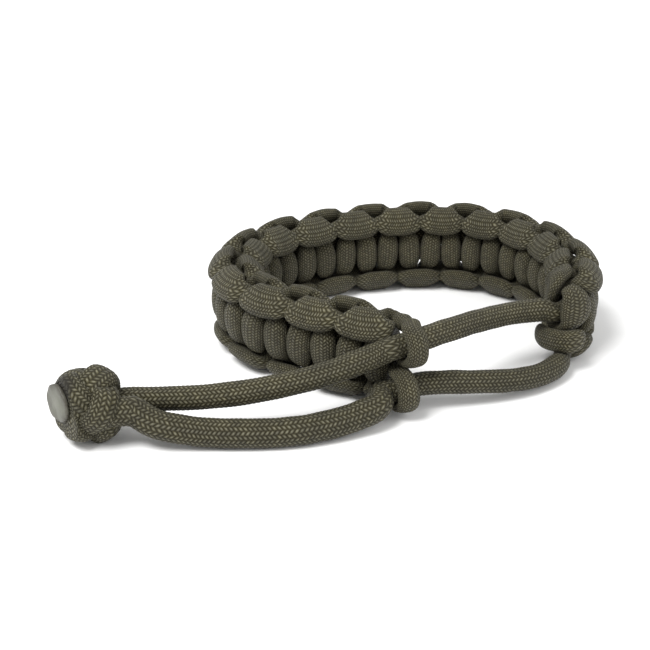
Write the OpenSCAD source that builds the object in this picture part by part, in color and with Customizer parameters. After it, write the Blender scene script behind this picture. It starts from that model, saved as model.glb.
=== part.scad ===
// Paracord bracelet in a cobra weave, lying on its side, with a drawcord closure and a diamond knot.
// X runs to the right, Y away from the front and Z up. The band's bottom edge lies at Z = 0.

/* [Cord] */
// Diameter of the core cords where they bridge the gap between the band's ends
bridge_d = 4.2; // [3.8:0.1:4.5]
// Diameter of the upper pull cord where it hangs slack
upper_pull_d = 4.3; // [4:0.1:4.6]
// Diameter of the lower pull cord where it lies slack on the surface
lower_pull_d = 5; // [4.4:0.1:5.2]
// Diameter of the working cords, before the weave flattens them
weave_d = 4.3; // [3.8:0.1:4.5]
// Diameter of a core cord where the weave squeezes it
squeezed_d = 3.4; // [3:0.1:3.8]
// Thickness of a bar, the stretch of working cord that crosses a face of the band
bar_t = 2.7; // [2.2:0.1:3.2]
// Thickness of a working cord where it dives under a bump
dive_t = 2.1; // [1.8:0.1:2.4]
// Thickness of a working cord where it passes round the edge to the other face
pass_t = 2.6; // [2:0.1:2.8]
// Thickness of an edge bump, the stretch of working cord that runs along an edge
bump_t = 3; // [2.7:0.1:3.4]
// Clearance between neighbouring cords
seam = 0.15; // [0.1:0.05:0.25]

/* [Band] */
// Length of the woven band along its middle
band_len = 154; // [150:1:165]
// Length of one full knot, which is two crossings of each working cord
knot_pitch = 10; // [9.8:0.1:10.6]

/* [Closure] */
// Thickness of the collar cords round the pull cords
collar_t = 2.8; // [2.4:0.1:3.2]
// Width of the collar cords
collar_w = 3.8; // [3.2:0.1:4.4]
// How far the hole of the upper collar lies beyond the band's left end
hole_reach = 3.2; // [3:0.1:4]
// Radius of the diamond knot over its lobes
knot_r = 6.4; // [6:0.1:7]
// Half the knot's length, to the middle of its end lobes
knot_half = 3.4; // [3.2:0.1:4.2]
// Thickness of a knot lobe
lobe_t = 3; // [2.6:0.1:3.2]
// Width of a knot lobe
lobe_w = 5.5; // [4.8:0.1:5.8]
// Diameter of the melted end of the cords
melt_d = 7.2; // [6.2:0.1:7.6]
// Thickness of the melted end
melt_t = 1; // [0.8:0.1:1.6]

/* [Hidden] */

// The band's plan curve: arcs from its left end round the back to its right end.
// Columns: share of the band's length, turn in degrees.
BAND_ARCS = [
    [0.161, -16],
    [0.247, -106],
    [0.218, -36.5],
    [0.342, -115],
    [0.032, -36],
];
ARC_SHARE = 0;
ARC_TURN = 1;
// Place of the band's left end, and its heading there
band_start = [-2.9, -25.3, 159.4];

sides = 8;
crossings = 2*floor(band_len/knot_pitch) + 1;
step = band_len/crossings;
core_r = squeezed_d/2;
core_c = core_r + seam/2;
bar_w = step - seam;
bar_r = core_r + seam + bar_t/2;
dive_r = core_r + seam + dive_t/2;
pass_r = core_r + seam + pass_t/2;
pass_w = 0.45*step - seam;
bump_r = core_r + dive_t + bump_t/2 + 2*seam;
bump_w = weave_d*weave_d/bump_t;
bump_turn = 33;
bump_facing = 46;

// Half of one crossing of a working cord, from the middle of a bar to the middle of an edge bump.
// Angles turn about the core cord: 90 is square to the face, 0 points across to the edge.
// Columns: share of the step along, angle, radius, facing angle, half width, half thickness.
WEAVE = [
    [-0.04, 79, bar_r, 85, 0.455*bar_w, 0.50*bar_t],
    [-0.14, 46, dive_r, 55, 0.31*bar_w, 0.50*dive_t],
    [-0.26, 4, pass_r, 5, 0.50*pass_w, 0.50*pass_t],
    [-0.26, -20, 0.45*pass_r + 0.55*bump_r, -26, 0.80*pass_w, 0.45*bump_t],
    [-0.14, -30, 0.06*pass_r + 0.94*bump_r, -40, 0.47*bump_w, 0.47*bump_t],
    [0.18, -bump_turn, bump_r, -bump_facing, 0.50*bump_w, 0.50*bump_t],
];
// The same at the bottom edge: the outer bars run further down, and the outer bumps tuck under.
OUTER_LOW = [
    [-0.04, 66, bar_r, 74, 0.445*bar_w, 0.50*bar_t],
    [-0.15, 36, dive_r, 43, 0.33*bar_w, 0.50*dive_t],
    [-0.27, 2, pass_r, 2, 0.50*pass_w, 0.46*pass_t],
    [-0.26, -20, 0.45*pass_r + 0.55*bump_r, -26, 0.80*pass_w, 0.45*bump_t],
    [-0.14, -30, 0.06*pass_r + 0.94*bump_r, -40, 0.47*bump_w, 0.47*bump_t],
    [0.18, -bump_turn, bump_r, -bump_facing, 0.50*bump_w, 0.50*bump_t],
];
INNER_LOW = [
    [-0.04, 79, bar_r, 85, 0.455*bar_w, 0.50*bar_t],
    [-0.14, 46, dive_r, 55, 0.31*bar_w, 0.50*dive_t],
    [-0.26, 4, pass_r, 5, 0.50*pass_w, 0.50*pass_t],
    [-0.25, -14, 0.45*pass_r + 0.55*bump_r, -18, 0.62*pass_w, 0.47*bump_t],
    [-0.12, -22, 0.06*pass_r + 0.94*bump_r, -29, 0.42*bump_w, 0.46*bump_t],
    [0.18, -25, bump_r, -34, 0.43*bump_w, 0.46*bump_t],
];
WEAVE_ALONG = 0;
WEAVE_ANGLE = 1;
WEAVE_RADIUS = 2;
WEAVE_FACING = 3;
WEAVE_HALF_W = 4;
WEAVE_HALF_T = 5;

// Frame of the plan curve: place and heading after an arc of a given length and turn.
function arc_end(p, len, turn) =
    let(r = len/(turn*PI/180))
    [p.x + r*(sin(p.z + turn) - sin(p.z)), p.y - r*(cos(p.z + turn) - cos(p.z)), p.z + turn];
function arc_start(i) =
    i == 0 ? band_start
           : arc_end(arc_start(i - 1), BAND_ARCS[i - 1][ARC_SHARE]*band_len, BAND_ARCS[i - 1][ARC_TURN]);
ARC_STARTS = [for (i = [0:len(BAND_ARCS)]) arc_start(i)];
function arc_from(i) = i == 0 ? 0 : arc_from(i - 1) + BAND_ARCS[i - 1][ARC_SHARE]*band_len;
ARC_FROM = [for (i = [0:len(BAND_ARCS)]) arc_from(i)];
LAST_ARC = len(BAND_ARCS);
function straight_on(p, len) = [p.x + len*cos(p.z), p.y + len*sin(p.z), p.z];
function arc_index(s) = [for (k = [0:LAST_ARC - 1]) if (s < ARC_FROM[k + 1]) k][0];
function band_frame(s) =
    s <= 0 ? straight_on(ARC_STARTS[0], s)
    : s >= ARC_FROM[LAST_ARC] ? straight_on(ARC_STARTS[LAST_ARC], s - ARC_FROM[LAST_ARC])
    : let(i = arc_index(s), t = (s - ARC_FROM[i])/(ARC_FROM[i + 1] - ARC_FROM[i]))
      arc_end(ARC_STARTS[i], s - ARC_FROM[i], BAND_ARCS[i][ARC_TURN]*t);

// Half the band's height over its edge bumps
function ellipse_reach(a, half_w, half_t) = norm([half_t*cos(a), half_w*sin(a)]);
band_half = core_c + bump_r*cos(bump_turn) + ellipse_reach(bump_facing, bump_w/2, bump_t/2);

// A point given along, across and out of the band, at its place in the room
function band_point(p) =
    let(f = band_frame(p.x))
    [f.x - p.z*sin(f.z), f.y + p.z*cos(f.z), band_half + p.y];
// A direction given along, across and out of the band's left end, turned into the room
function end_direction(d) =
    let(h = band_start.z)
    [d.x*cos(h) - d.z*sin(h), d.x*sin(h) + d.z*cos(h), d.y];

function unit(v) = v/norm(v);
function tangent(c, i) = unit(c[min(i + 1, len(c) - 1)] - c[max(i - 1, 0)]);

// One ring of a flattened cord: centre, direction, face direction, half width, half thickness
function ring(c, t, face, half_w, half_t) =
    let(n = unit(face - (face*t)*t), w = cross(t, n))
    [for (k = [0:sides - 1])
        let(a = 360*(k + 0.5)/sides)
        c + half_w*cos(a)*w + half_t*sin(a)*n];

// Rows of a cord hold centre, face direction, half width and half thickness.
function cord_rings(rows) =
    let(c = [for (r = rows) r[0]])
    [for (i = [0:len(rows) - 1]) ring(c[i], tangent(c, i), rows[i][1], rows[i][2], rows[i][3])];

function side_faces(i) =
    [for (k = [0:sides - 1])
        let(a = i*sides + k, b = i*sides + (k + 1)%sides)
        each [[a, a + sides, b + sides], [a, b + sides, b]]];

module skin(rings) {
    last = len(rings) - 1;
    polyhedron(
        points = [for (r = rings) each r],
        faces = concat(
            [[for (k = [0:sides - 1]) k]],
            [for (i = [0:last - 1]) each side_faces(i)],
            [[for (k = [sides - 1:-1:0]) last*sides + k]]));
}

// A cord along the band: its rings are made flat and then bent round with the band.
module band_cord(rows) {
    skin([for (r = cord_rings(rows)) [for (p = r) band_point(p)]]);
}

// A cord given by places in the room
module room_cord(rows) {
    skin([for (r = cord_rings(rows)) [for (k = [sides - 1:-1:0]) r[k]]]);
}

// One station of a working cord. side is 1 at the top edge, face is 1 for bars on the outer face,
// and lead is -1 on the way into a bar and 1 on the way out of it.
function weave_station(i, row, side, face, lead) =
    let(a = row[WEAVE_ANGLE], f = row[WEAVE_FACING], r = row[WEAVE_RADIUS])
    [[(i + 0.5 + lead*row[WEAVE_ALONG])*step, side*(core_c + r*cos(a)), face*r*sin(a)],
     [0, side*cos(f), face*sin(f)], row[WEAVE_HALF_W], row[WEAVE_HALF_T]];
function end_side(i, face) = (i%2 == 0 ? -1 : 1)*face;
function weave_table(side, face) = side > 0 ? WEAVE : face > 0 ? OUTER_LOW : INNER_LOW;
// Each working cord starts at the middle of its first bump, and a collar goes on from there.
START_TOP = [
    [0.08, -39, 0.94*bump_r, -52, 0.28*bump_w, 0.40*bump_t],
    [-0.10, -37, 0.93*bump_r, -49, 0.30*bump_w, 0.41*bump_t],
    [-0.24, -20, 0.55*pass_r + 0.45*bump_r, -26, 0.58*pass_w, 0.46*bump_t],
];
START_LOW = [
    [0.06, -25, bump_r, -34, 0.40*bump_w, 0.43*bump_t],
    [-0.12, -22, 0.06*pass_r + 0.94*bump_r, -29, 0.42*bump_w, 0.46*bump_t],
    [-0.25, -14, 0.45*pass_r + 0.55*bump_r, -18, 0.62*pass_w, 0.47*bump_t],
];
function start_table(side) = side > 0 ? START_TOP : START_LOW;
function weave_in(i, face) =
    let(side = -end_side(i, face), rows = weave_table(side, face))
    concat(
        i > 0 ? [for (k = [5:-1:3]) weave_station(i, rows[k], side, face, -1)]
              : [for (row = start_table(side)) weave_station(i, row, side, face, -1)],
        [for (k = [2:-1:0]) weave_station(i, rows[k], side, face, -1)]);
function weave_out(i, face) =
    let(side = end_side(i, face))
    [for (row = weave_table(side, face)) weave_station(i, row, side, face, 1)];
function weave_crossings(face, last) =
    [for (i = [0:last]) each concat(weave_in(i, face), weave_out(i, face))];

// The right end: the outer cord goes down the inside of the end, under the upper core cord and up
// again as a wide last bar. The inner cord goes round the lower core cord as the end wrap.
// Columns: steps along from the band's right end, across and out as shares of a bump's radius,
// the face's direction along, across and out, half width, half thickness.
last_bar = crossings - 1;
last_bar_w = 5.2;
wrap_w = 4.6;
wrap_t = 2.6;
tuck_w = 2.2;
tuck_t = 1.8;
END_BEND = [
    [-1.26, 1.23, -0.40, 0, 0.8, -0.6, 0.41*bump_w, 0.47*bump_t],
    [-0.86, 1.20, -0.41, 0.1, 0.7, -0.7, 0.38*bump_w, 0.47*bump_t],
    [-0.53, 1.05, -0.41, 0.3, 0.5, -0.8, 0.34*bump_w, 0.44*bump_t],
    [-0.40, 0.74, -0.45, 0.4, 0.2, -0.9, 0.30*bump_w, 0.41*bump_t],
    [-0.46, 0.38, -0.55, 0.3, 0, -0.95, 0.27*bump_w, 0.38*bump_t],
    [-0.50, 0.08, -0.55, 0.1, -0.3, -0.9, 0.62*tuck_w, 0.60*tuck_t],
    [-0.36, -0.14, -0.40, 0, -0.7, -0.7, 0.54*tuck_w, 0.54*tuck_t],
    [-0.22, -0.22, -0.16, 0, -0.95, -0.2, 0.46*tuck_w, 0.46*tuck_t],
    [-0.23, -0.23, 0.12, 0, -0.9, 0.4, 0.46*tuck_w, 0.46*tuck_t],
    [-0.32, -0.05, 0.46, 0.1, -0.4, 0.9, 0.36*last_bar_w, 0.42*bar_t],
    [-0.42, 0.28, 0.58, 0.35, 0, 0.94, 0.49*last_bar_w, 0.50*bar_t],
    [-0.47, 0.67, 0.56, 0.35, 0.15, 0.92, 0.49*last_bar_w, 0.50*bar_t],
    [-0.50, 0.96, 0.39, 0.2, 0.6, 0.77, 0.38*last_bar_w, 0.44*bar_t],
    [-0.54, 1.10, 0.12, 0.1, 0.95, 0.2, 0.28*last_bar_w, 0.36*bar_t],
];
END_WRAP = [
    [-1.06, -1.15, 0.49, 0, -0.75, 0.66, 0.40*bump_w, 0.48*bump_t],
    [-0.84, -1.19, 0.43, 0, -0.8, 0.6, 0.31*bump_w, 0.44*bump_t],
    [-0.69, -1.28, 0.13, 0, -1, 0.1, 0.60*tuck_w, 0.58*tuck_t],
    [-0.60, -1.17, -0.19, 0, -0.9, -0.4, 0.57*tuck_w, 0.58*tuck_t],
    [-0.40, -0.91, -0.49, 0, -0.6, -0.8, 0.60*tuck_w, 0.54*tuck_t],
    [-0.16, -0.70, -0.60, 0.3, -0.2, -0.93, 0.64*tuck_w, 0.55*tuck_t],
    [0.14, -0.58, -0.46, 0.7, 0, -0.7, 0.38*wrap_w, 0.42*wrap_t],
    [0.30, -0.55, -0.08, 1, 0, 0, 0.45*wrap_w, 0.50*wrap_t],
    [0.28, -0.50, 0.34, 0.95, 0, 0.3, 0.48*wrap_w, 0.50*wrap_t],
    [0.12, -0.45, 0.70, 0.6, 0, 0.8, 0.48*wrap_w, 0.50*wrap_t],
    [-0.12, -0.44, 0.89, 0.1, 0, 1, 0.49*wrap_w, 0.50*wrap_t],
    [-0.30, -0.44, 0.88, -0.4, 0, 0.9, 0.44*wrap_w, 0.46*wrap_t],
    [-0.41, -0.44, 0.79, -0.7, 0, 0.7, 0.30*wrap_w, 0.36*wrap_t],
];
function end_row(r) =
    [[band_len + r[0]*step, r[1]*bump_r, r[2]*bump_r], [r[3], r[4], r[5]], r[6], r[7]];
function end_rows(rows) = [for (r = rows) end_row(r)];
function all_but_last(rows) = [for (k = [0:len(rows) - 2]) rows[k]];

module outer_weave_cord() {
    color("darkolivegreen")
        band_cord(concat(all_but_last(weave_crossings(1, last_bar - 1)), end_rows(END_BEND)));
}

module inner_weave_cord() {
    color("olivedrab")
        band_cord(concat(weave_crossings(-1, last_bar - 1), end_rows(END_WRAP)));
}

// The closure's holes: along, across and out of the band's left end, and the cords' way through them
upper_hole = [-hole_reach, 4.05, 2.8];
lower_hole = [-hole_reach + 0.9, -4.02, 4.9];
upper_way = unit([0.69, -0.12, 0.71]);
lower_way = unit([0.68, -0.12, 0.70]);
core_start = 1.2;
// A core cord's radius inside the band, less what its rings cut off round the curve
inside_r = core_r - 0.1;
bridge_rings = 7;

// Where the core cords run at the right end: steps along from the band's end, across and out as
// shares of a bump's radius, and the radius there
core_at = core_c/bump_r;
UPPER_EXIT = [
    [-0.93, core_at, 0, inside_r],
    [-0.44, 0.31, 0, inside_r],
    [-0.04, 0.31, -0.04, 0.5*inside_r + 0.25*bridge_d],
    [0.36, 0.41, -0.18, bridge_d/2],
];
LOWER_EXIT = [
    [-1.05, -core_at, 0, inside_r],
    [-0.80, -0.36, 0.02, inside_r],
    [-0.60, -0.54, 0.07, inside_r],
    [-0.44, -0.78, 0.19, inside_r],
    [-0.24, -0.95, 0.36, inside_r],
    [-0.04, -1.10, 0.54, inside_r],
    [0.17, -1.17, 0.72, 0.5*inside_r + 0.25*bridge_d],
    [0.48, -1.14, 0.92, bridge_d/2],
];

function bezier(a, b, c, d, t) =
    pow(1 - t, 3)*a + 3*pow(1 - t, 2)*t*b + 3*(1 - t)*t*t*c + t*t*t*d;

// A core cord runs inside the band, leaves its right end and bridges the gap to its hole.
// aim shapes the bridge where it leaves: its heading, its rise, and how far they carry.
upper_aim = [-172, 0.02, 9];
lower_aim = [-121, 0, 14];
hole_pull = 9;
function exit_point(e) = band_point([band_len + e[0]*step, e[1]*bump_r, e[2]*bump_r]);
function core_rows(side, exits, aim, hole, way) =
    let(out = exit_point(exits[len(exits) - 1]),
        far = band_point(hole),
        dir = end_direction(way))
    concat(
        [for (s = [core_start:step:band_len - 1.2*step])
            [band_point([s, side*core_c, 0]), [0, 0, 1], inside_r, inside_r]],
        [for (e = exits) [exit_point(e), [0, 0, 1], e[3], e[3]]],
        [for (k = [1:bridge_rings])
            [bezier(out, out + aim.z*[cos(aim.x), sin(aim.x), aim.y], far - hole_pull*dir, far,
                    k/bridge_rings),
             [0, 0, 1], bridge_d/2, bridge_d/2]],
        [[far + 2*dir, [0, 0, 1], bridge_d/2, bridge_d/2]]);

module upper_core_cord() {
    color("olive")
        room_cord(core_rows(1, UPPER_EXIT, upper_aim, upper_hole, upper_way));
}

module lower_core_cord() {
    color("olive")
        room_cord(core_rows(-1, LOWER_EXIT, lower_aim, lower_hole, lower_way));
}

// A collar is a working cord's bight: it goes on from an edge bump at the band's left end, wraps
// round the cord in its hole and goes back into the middle of the end.
// Its way to the ring: steps along, shares of a bump's radius beyond the core cord and out, and the
// share of its thickness.
collar_play = seam + 0.2;
leg_t = 0.56*collar_t;
UPPER_LEAD = [
    [-0.02, 0.77, -0.46, 0.68],
    [-0.33, 0.69, -0.20, 0.80],
    [-0.56, 0.92, 0.13, 0.60],
];
LOWER_LEAD = [
    [-0.02, 0.93, 0.54, 0.56],
    [-0.30, 0.95, 0.74, 0.56],
];
function collar_rows(hole, way, side, face, lead) =
    let(up = [0, side, 0], front = unit([-way.z, 0, way.x]),
        first = weave_station(0, start_table(side)[0], side, face, -1),
        second = weave_station(0, start_table(side)[1], side, face, -1),
        back = unit(first[0] - second[0]))
    concat(
        [[first[0] + 3*seam*back, first[1], 0.94*first[2], 0.94*first[3]],
         [first[0] + 0.2*bump_w*back, first[1], 0.76*first[2], 0.8*first[3]]],
        [for (q = lead)
            [[q.x*step, side*(core_c + q.y*bump_r), q.z*bump_r], side*up, 0.46*collar_w, q[3]*collar_t/2]],
        [for (a = [30:30:180])
            let(out = cos(a)*up + sin(a)*front,
                t = leg_t + (collar_t - leg_t)*sin(a)*sin(a))
            [hole + (bridge_d/2 + collar_play + t/2)*out, out, collar_w/2, t/2]],
        [[[-0.7, side*core_c, 0.1*hole.z], [0, -side, 0], 0.8*core_r, 0.7*core_r],
         [[core_start - 3*seam, side*core_c, 0], [0, -side, 0], 0.8*core_r, 0.8*core_r]]);

module upper_collar() {
    color("darkolivegreen") band_cord(collar_rows(upper_hole, upper_way, 1, 1, UPPER_LEAD));
}

module lower_collar() {
    color("olivedrab") band_cord(collar_rows(lower_hole, lower_way, -1, -1, LOWER_LEAD));
}

// The slack pull cords lie on the surface and lift to the knot.
// Route points between the holes and the knot: x, y, height of the cord's underside.
UPPER_ROUTE = [
    [-7.2, -31, 9.2],
    [-12.7, -33.7, 8.1],
    [-20.2, -36.5, 6.9],
    [-28.7, -38, 5.8],
    [-36.7, -38.4, 4.9],
    [-44.7, -37.8, 4.3],
];
LOWER_ROUTE = [
    [-6.7, -36.1, 1.4],
    [-12.7, -39.6, 0.5],
    [-20.2, -42.3, 0.2],
    [-28.7, -43.2, 0.1],
    [-36.7, -43.2, 0.4],
    [-43.7, -43.4, 1.8],
];
pull_steps = 2;

knot_at = [-56.2, -40.1];
knot_heading = 186;
knot_z = knot_r + 0.2;
// Where the pull cords meet the knot, as angles from the top of its axis
upper_lean = 105;
lower_lean = 80;
lobe_swing = 0.75;
lobe_middle = knot_r - lobe_t/2 - lobe_swing;
lobe_phase = 82;
stub_end = knot_half + 3;
// The middle of the cut end: along the knot's axis, towards the viewer and up, and its turn
melt_at = [knot_half + 1, 1.4, 1.3];
melt_turn = 30;
trim_r = 2*knot_r;

// A point given from the knot's centre: along its axis away from the cords, towards the viewer, up
function knot_point(p) =
    let(h = knot_heading)
    [knot_at.x + p.x*cos(h) - p.y*sin(h), knot_at.y + p.x*sin(h) + p.y*cos(h), knot_z + p.z];
function stack_point(side, along) =
    let(r = (side > 0 ? upper_pull_d : lower_pull_d)/2 + seam, lean = side > 0 ? upper_lean : lower_lean)
    [along, -side*r*sin(lean), side*r*cos(lean)];

// Smooth curve through a list of points
function curve_at(a, b, c, d, t) =
    0.5*(2*b + (c - a)*t + (2*a - 5*b + 4*c - d)*t*t + (3*b - a - 3*c + d)*t*t*t);
function curve(p, steps) =
    let(last = len(p) - 1)
    concat(
        [for (i = [0:last - 1], j = [0:steps - 1])
            curve_at(p[max(i - 1, 0)], p[i], p[i + 1], p[min(i + 2, last)], j/steps)],
        [p[last]]);

module pull_cord(side, d, hole, way, route) {
    dir = end_direction(way);
    start = band_point(hole) + (2 + seam)*dir;
    finish = knot_point(stack_point(side, -stub_end - seam));
    before = knot_point(stack_point(side, -stub_end - 1.5));
    middle = [for (q = route) [q.x, q.y, q.z + d/2]];
    path = concat([start], curve(concat([start + 1.5*dir], middle, [before]), pull_steps), [finish]);
    r = [for (i = [0:len(path) - 1]) min(d, bridge_d + i*(d - bridge_d)/3)/2];
    room_cord([for (i = [0:len(path) - 1]) [path[i], [0, 0, 1], r[i], r[i]]]);
}

module upper_pull_cord() {
    color("olivedrab") pull_cord(1, upper_pull_d, upper_hole, upper_way, UPPER_ROUTE);
}

module lower_pull_cord() {
    color("olivedrab") pull_cord(-1, lower_pull_d, lower_hole, lower_way, LOWER_ROUTE);
}

// The knot's cord runs three times round the axis and swings to each end four times,
// over and under itself by turns.
function lobe_row(t) =
    let(a = lobe_phase - t,
        r = lobe_middle + lobe_swing*sin(8*t/3),
        along = knot_half*cos(4*t/3),
        out = [0, cos(a), sin(a)])
    [[along, 0, 0] + r*out, out + [0.8*cos(4*t/3), 0, 0], lobe_w/2, lobe_t/2];

module knot_cord(from, to, steps) {
    rings = cord_rings([for (k = [0:steps]) lobe_row(from + (to - from)*k/steps)]);
    knot_skin(rings);
}

module knot_skin(rings) {
    skin([for (r = rings) [for (k = [sides - 1:-1:0]) knot_point(r[k])]]);
}

module knot_body() {
    translate(knot_point([0, 0, 0]))
        scale([knot_half + 0.6, lobe_middle + 0.4, lobe_middle + 0.4])
            sphere(r = 1, $fn = 12);
}

module stub(side, d) {
    knot_skin(cord_rings([for (x = [0, -stub_end]) [stack_point(side, x), [0, 0, 1], d/2, d/2]]));
}

// A disc on the knot's cut end, from one height over the cut to another
module end_disc(r1, r2, from, to) {
    translate(knot_point(melt_at))
        rotate([0, 90, knot_heading + melt_turn])
            translate([0, 0, from])
                cylinder(h = to - from, r1 = r1, r2 = r2, $fn = 20);
}

module diamond_knot() {
    color("olivedrab")
        difference() {
            union() {
                for (k = [0:7]) knot_cord(135*k, 135*(k + 1), 6);
                knot_body();
                stub(1, upper_pull_d);
                stub(-1, lower_pull_d);
            }
            end_disc(trim_r, trim_r, -seam, knot_r);
        }
}

module melted_end() {
    color("wheat") end_disc(melt_d/2, 0.42*melt_d, 0, melt_t);
}

outer_weave_cord();
inner_weave_cord();
upper_core_cord();
lower_core_cord();
upper_collar();
lower_collar();
upper_pull_cord();
lower_pull_cord();
diamond_knot();
melted_end();
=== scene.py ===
"""Looks of the paracord bracelet: braided cords swept along the routes of its solids."""
import math

import bmesh
import bpy
import numpy as np
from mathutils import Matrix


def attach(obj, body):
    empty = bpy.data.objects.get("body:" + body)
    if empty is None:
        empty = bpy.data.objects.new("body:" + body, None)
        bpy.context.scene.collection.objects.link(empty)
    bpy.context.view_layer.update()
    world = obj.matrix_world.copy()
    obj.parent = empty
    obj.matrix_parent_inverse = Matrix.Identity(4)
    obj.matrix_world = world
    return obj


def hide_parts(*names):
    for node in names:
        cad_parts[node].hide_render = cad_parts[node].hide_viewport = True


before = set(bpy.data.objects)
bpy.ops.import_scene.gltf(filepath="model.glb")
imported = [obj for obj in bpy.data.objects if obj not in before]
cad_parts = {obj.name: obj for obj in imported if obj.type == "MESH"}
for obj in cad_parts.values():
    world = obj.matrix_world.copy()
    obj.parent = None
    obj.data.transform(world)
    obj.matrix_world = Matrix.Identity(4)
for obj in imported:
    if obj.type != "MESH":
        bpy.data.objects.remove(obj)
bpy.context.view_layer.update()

MM = 0.001

# Camera: place and reach in metres, degrees that it looks down, lens and sensor in mm
CAMERA_AT, LOOKS_DOWN = (-0.015567, -0.265514, 0.122262), 24.097
LENS, SENSOR_W = 81.888, 36
NEAREST, FARTHEST = 0.01, 20

cam = bpy.data.objects.new("camera", bpy.data.cameras.new("camera"))
bpy.context.collection.objects.link(cam)
cam.location = CAMERA_AT
cam.rotation_euler = (math.radians(90 - LOOKS_DOWN), 0, 0)
cam.data.sensor_width = SENSOR_W
cam.data.lens = LENS
cam.data.clip_start = NEAREST
cam.data.clip_end = FARTHEST
bpy.context.scene.camera = cam

# Sizes in mm, as in the solids: D is a diameter, W a width, T a thickness, R a radius
BRIDGE_D, UPPER_PULL_D, LOWER_PULL_D = 4.2, 4.3, 5.0
WEAVE_D, SQUEEZED_D = 4.3, 3.4
BAR_T, DIVE_T, PASS_T, BUMP_T, SEAM = 2.7, 2.1, 2.6, 3.0, 0.15
BAND_LEN, KNOT_PITCH, PASS_SHARE = 154.0, 10.0, 0.45
COLLAR_T, COLLAR_W, HOLE_REACH = 2.8, 3.8, 3.2
KNOT_R, KNOT_HALF, LOBE_T, LOBE_W = 6.4, 3.4, 3.0, 5.5
MELT_D, MELT_T = 7.2, 1.0

# The arcs of the band's plan curve, each as a share of its length and a turn in degrees, and the
# place and heading where the first one starts
BAND_ARCS = [(0.161, -16), (0.247, -106), (0.218, -36.5), (0.342, -115), (0.032, -36)]
BAND_START = (-2.9, -25.3, 159.4)

CROSSINGS = 2 * int(BAND_LEN // KNOT_PITCH) + 1
STEP = BAND_LEN / CROSSINGS
CORE_R = SQUEEZED_D / 2
CORE_C = CORE_R + SEAM / 2
BAR_W = STEP - SEAM
BAR_R = CORE_R + SEAM + BAR_T / 2
DIVE_R = CORE_R + SEAM + DIVE_T / 2
PASS_R = CORE_R + SEAM + PASS_T / 2
PASS_W = PASS_SHARE * STEP - SEAM
BUMP_R = CORE_R + DIVE_T + BUMP_T / 2 + 2 * SEAM
BUMP_W = WEAVE_D * WEAVE_D / BUMP_T
BUMP_TURN, BUMP_FACING = 33, 46

# A cord's way from a bar round the band's edge to its bump: share of the step along, angle, radius,
# facing angle, half width, half thickness
WEAVE = [
    (-0.04, 79, BAR_R, 85, 0.455 * BAR_W, 0.50 * BAR_T),
    (-0.14, 46, DIVE_R, 55, 0.31 * BAR_W, 0.50 * DIVE_T),
    (-0.26, 4, PASS_R, 5, 0.50 * PASS_W, 0.50 * PASS_T),
    (-0.26, -20, 0.45 * PASS_R + 0.55 * BUMP_R, -26, 0.80 * PASS_W, 0.45 * BUMP_T),
    (-0.14, -30, 0.06 * PASS_R + 0.94 * BUMP_R, -40, 0.47 * BUMP_W, 0.47 * BUMP_T),
    (0.18, -BUMP_TURN, BUMP_R, -BUMP_FACING, 0.50 * BUMP_W, 0.50 * BUMP_T),
]
# the same at the bottom edge, for the outer and for the inner cord
OUTER_LOW = [
    (-0.04, 66, BAR_R, 74, 0.445 * BAR_W, 0.50 * BAR_T),
    (-0.15, 36, DIVE_R, 43, 0.33 * BAR_W, 0.50 * DIVE_T),
    (-0.27, 2, PASS_R, 2, 0.50 * PASS_W, 0.46 * PASS_T),
] + WEAVE[3:]
INNER_LOW = WEAVE[:3] + [
    (-0.25, -14, 0.45 * PASS_R + 0.55 * BUMP_R, -18, 0.62 * PASS_W, 0.47 * BUMP_T),
    (-0.12, -22, 0.06 * PASS_R + 0.94 * BUMP_R, -29, 0.42 * BUMP_W, 0.46 * BUMP_T),
    (0.18, -25, BUMP_R, -34, 0.43 * BUMP_W, 0.46 * BUMP_T),
]


def cosd(a):
    return math.cos(math.radians(a))


def sind(a):
    return math.sin(math.radians(a))


# Half the band's width, out to the bumps
BAND_HALF = (CORE_C + BUMP_R * cosd(BUMP_TURN)
             + math.hypot(BUMP_T / 2 * cosd(BUMP_FACING), BUMP_W / 2 * sind(BUMP_FACING)))


def arc_end(p, length, turn):
    """Place and heading at the end of an arc that starts at p."""
    r = length / math.radians(turn)
    heading = p[2] + turn
    return (p[0] + r * (sind(heading) - sind(p[2])),
            p[1] - r * (cosd(heading) - cosd(p[2])), heading)


ARC_STARTS, ARC_FROM = [BAND_START], [0.0]
for share, turn in BAND_ARCS:
    ARC_STARTS.append(arc_end(ARC_STARTS[-1], share * BAND_LEN, turn))
    ARC_FROM.append(ARC_FROM[-1] + share * BAND_LEN)


def band_frames(s):
    """Place and heading, in radians, of the plan curve at each length along the band."""
    s = np.asarray(s, float)
    x, y, h = np.empty_like(s), np.empty_like(s), np.empty_like(s)
    # the curve goes straight on before its first arc and after its last one
    parts = [(s <= 0, ARC_STARTS[0], 0.0, 0.0),
             (s > ARC_FROM[-1], ARC_STARTS[-1], ARC_FROM[-1], 0.0)]
    parts += [((s > ARC_FROM[i]) & (s <= ARC_FROM[i + 1]), ARC_STARTS[i], ARC_FROM[i],
               math.radians(turn) / (share * BAND_LEN)) for i, (share, turn) in enumerate(BAND_ARCS)]
    for on, p, from_s, bend in parts:
        d = s[on] - from_s
        h0 = math.radians(p[2])
        if bend == 0.0:
            x[on], y[on], h[on] = p[0] + d * math.cos(h0), p[1] + d * math.sin(h0), h0
        else:
            h[on] = h0 + bend * d
            x[on] = p[0] + (np.sin(h[on]) - math.sin(h0)) / bend
            y[on] = p[1] - (np.cos(h[on]) - math.cos(h0)) / bend
    return x, y, h


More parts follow.
